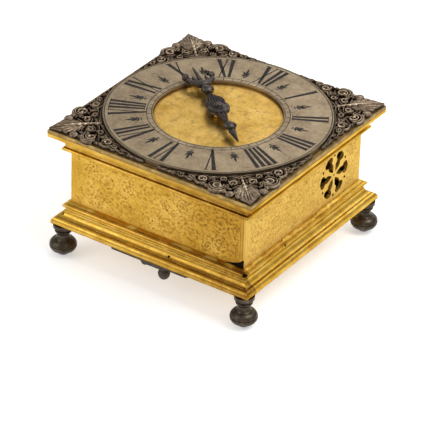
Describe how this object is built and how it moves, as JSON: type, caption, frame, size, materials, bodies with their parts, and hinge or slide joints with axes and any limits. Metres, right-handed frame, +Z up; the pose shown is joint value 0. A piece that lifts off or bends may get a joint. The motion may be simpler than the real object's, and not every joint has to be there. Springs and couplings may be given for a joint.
{
  "type": "table clock",
  "caption": "Square horizontal table clock: gilt engraved case on turned feet, silvered chapter ring with Roman numerals, single hour hand, inner movement with a bell, hinged bottom cover.",
  "frame": {"origin": "on the floor, under the middle of the dial", "axes": "+Z up out of the dial, +X towards III on the dial, +Y towards XII; the VI side is the front"},
  "size_m": [0.123, 0.123, 0.0803],
  "materials": {
    "gilt_case": "fire-gilt, engraved, slightly worn",
    "gilt_moulding": "fire-gilt, polished mouldings with dark recesses",
    "foot_bronze": "dark patinated bronze",
    "underside_iron": "dark iron, matt",
    "cover_brass": "plain brass, unpolished",
    "dial_plate_metal": "silvered brass, worn",
    "ring_silvered": "silvered and engraved with black-filled Roman numerals",
    "centre_gilt": "matted gilt",
    "spandrel_metal": "cast and chased, greyed silvering",
    "hand_steel": "cut and blued steel gone dark brown",
    "movement_brass": "bright brass, fine-grained",
    "movement_steel": "polished steel",
    "gut": "twisted gut line",
    "bell_bronze": "dark bell bronze"
  },
  "bodies": {
    "case": {"base_moulding": "gilt_moulding", "upper_moulding": "gilt_moulding", "corner_posts": "movement_brass", "wall_right": "gilt_case", "wall_back": "gilt_case", "wall_left": "gilt_case", "wall_front": "gilt_case", "feet": "foot_bronze", "hinge_leaf": "cover_brass", "hinge_pin": "movement_steel", "latch_strip": "underside_iron", "latch_screw": "underside_iron", "dial_plate": "dial_plate_metal", "chapter_ring": "ring_silvered", "dial_centre": "centre_gilt", "spandrel_back_right": "spandrel_metal", "spandrel_back_left": "spandrel_metal", "spandrel_front_left": "spandrel_metal", "spandrel_front_right": "spandrel_metal", "back_plate": "movement_brass", "top_plate": "movement_brass", "pillars": "movement_brass", "taper_pins": "movement_steel", "hour_stud": "movement_steel", "barrel_arbor": "movement_steel", "fusee_line": "gut", "potences": "movement_brass", "balance_cock": "movement_brass", "movement_screws": "movement_steel", "bell": "bell_bronze", "bell_post": "movement_brass"},
    "bottom_cover": {"bottom_cover": "cover_brass"},
    "latch_arm": {"latch_arm": "underside_iron"},
    "hour_wheel": {"hour_wheel": "movement_brass"},
    "hour_hand": {"hour_hand": "hand_steel", "hand_collet": "hand_steel"},
    "fusee": {"fusee": "movement_brass", "great_wheel": "movement_brass"},
    "barrel": {"barrel_drum": "movement_brass"},
    "second_wheel": {"second_wheel": "movement_brass"},
    "contrate_wheel": {"contrate_wheel": "movement_brass"},
    "crown_wheel": {"crown_wheel": "movement_brass"},
    "balance": {"verge": "movement_steel", "balance_wheel": "movement_brass"},
    "strike_drum": {"strike_drum": "movement_brass", "count_wheel": "movement_brass"},
    "strike_arbor": {"strike_arbor": "movement_steel"},
    "pin_wheel": {"pin_wheel": "movement_brass"},
    "warning_wheel": {"warning_wheel": "movement_brass"},
    "fly": {"fly": "movement_brass"},
    "hammer": {"hammer": "movement_steel"},
    "count_detent": {"count_detent": "movement_steel"}
  },
  "joints": [
    {"name": "cover_hinge", "type": "hinge", "parent": "case", "child": "bottom_cover", "pos_m": [0, 0.0462, 0.016], "axis": [1, 0, 0], "range_deg": [0, 100]},
    {"name": "latch_turn", "type": "hinge", "parent": "case", "child": "latch_arm", "pos_m": [-0.0035, -0.0551, 0.0157], "axis": [0, 0, 1], "range_deg": [0, 90]},
    {"name": "hour_spin", "type": "hinge", "parent": "case", "child": "hour_wheel", "pos_m": [0, 0, 0.0668], "axis": [0, 0, 1], "continuous": true},
    {"name": "hand_set", "type": "hinge", "parent": "hour_wheel", "child": "hour_hand", "pos_m": [0, 0, 0.077], "axis": [0, 0, 1], "continuous": true},
    {"name": "second_spin", "type": "hinge", "parent": "case", "child": "second_wheel", "pos_m": [-0.0154, -0.0274, 0.05], "axis": [0, 0, 1], "continuous": true},
    {"name": "fusee_spin", "type": "hinge", "parent": "case", "child": "fusee", "pos_m": [-0.01198, -0.00799, 0.05], "axis": [0, 0, 1], "continuous": true},
    {"name": "barrel_spin", "type": "hinge", "parent": "case", "child": "barrel", "pos_m": [-0.0315, -0.021, 0.05], "axis": [0, 0, 1], "continuous": true},
    {"name": "contrate_spin", "type": "hinge", "parent": "case", "child": "contrate_wheel", "pos_m": [-0.00058, -0.0261, 0.05], "axis": [0, 0, 1], "continuous": true},
    {"name": "crown_spin", "type": "hinge", "parent": "case", "child": "crown_wheel", "pos_m": [0.011, -0.0261, 0.05215], "axis": [1, 0, 0], "continuous": true},
    {"name": "balance_swing", "type": "hinge", "parent": "case", "child": "balance", "pos_m": [0.02242, -0.0261, 0.037], "axis": [0, 0, 1], "range_deg": [-50, 50]},
    {"name": "pin_wheel_spin", "type": "hinge", "parent": "case", "child": "pin_wheel", "pos_m": [-0.01121, 0.02125, 0.05], "axis": [0, 0, 1], "continuous": true},
    {"name": "strike_spin", "type": "hinge", "parent": "case", "child": "strike_drum", "pos_m": [-0.027, 0.027, 0.05], "axis": [0, 0, 1], "continuous": true},
    {"name": "strike_winding", "type": "hinge", "parent": "case", "child": "strike_arbor", "pos_m": [-0.027, 0.027, 0.05], "axis": [0, 0, 1], "continuous": true},
    {"name": "warning_spin", "type": "hinge", "parent": "case", "child": "warning_wheel", "pos_m": [0.00316, 0.02511, 0.05], "axis": [0, 0, 1], "continuous": true},
    {"name": "fly_spin", "type": "hinge", "parent": "case", "child": "fly", "pos_m": [0.01474, 0.02306, 0.05], "axis": [0, 0, 1], "continuous": true},
    {"name": "hammer_swing", "type": "hinge", "parent": "case", "child": "hammer", "pos_m": [-0.00104, 0.00996, 0.05], "axis": [0, 0, 1], "range_deg": [-22, 3], "stiffness_Nm_per_rad": 0.02},
    {"name": "detent_lift", "type": "hinge", "parent": "case", "child": "count_detent", "pos_m": [-0.02387, 0.00927, 0.05], "axis": [0, 0, 1], "range_deg": [0, 12], "stiffness_Nm_per_rad": 0.004}
  ],
  "couplings": [
    {"joint": "fusee_spin", "follows": "second_spin", "ratio": -0.125},
    {"joint": "hour_spin", "follows": "second_spin", "ratio": 0.025},
    {"joint": "barrel_spin", "follows": "second_spin", "ratio": -0.075484},
    {"joint": "contrate_spin", "follows": "second_spin", "ratio": -7},
    {"joint": "crown_spin", "follows": "second_spin", "ratio": -42},
    {"joint": "strike_spin", "follows": "pin_wheel_spin", "ratio": -0.16667},
    {"joint": "warning_spin", "follows": "pin_wheel_spin", "ratio": -7},
    {"joint": "fly_spin", "follows": "pin_wheel_spin", "ratio": 42}
  ]
}
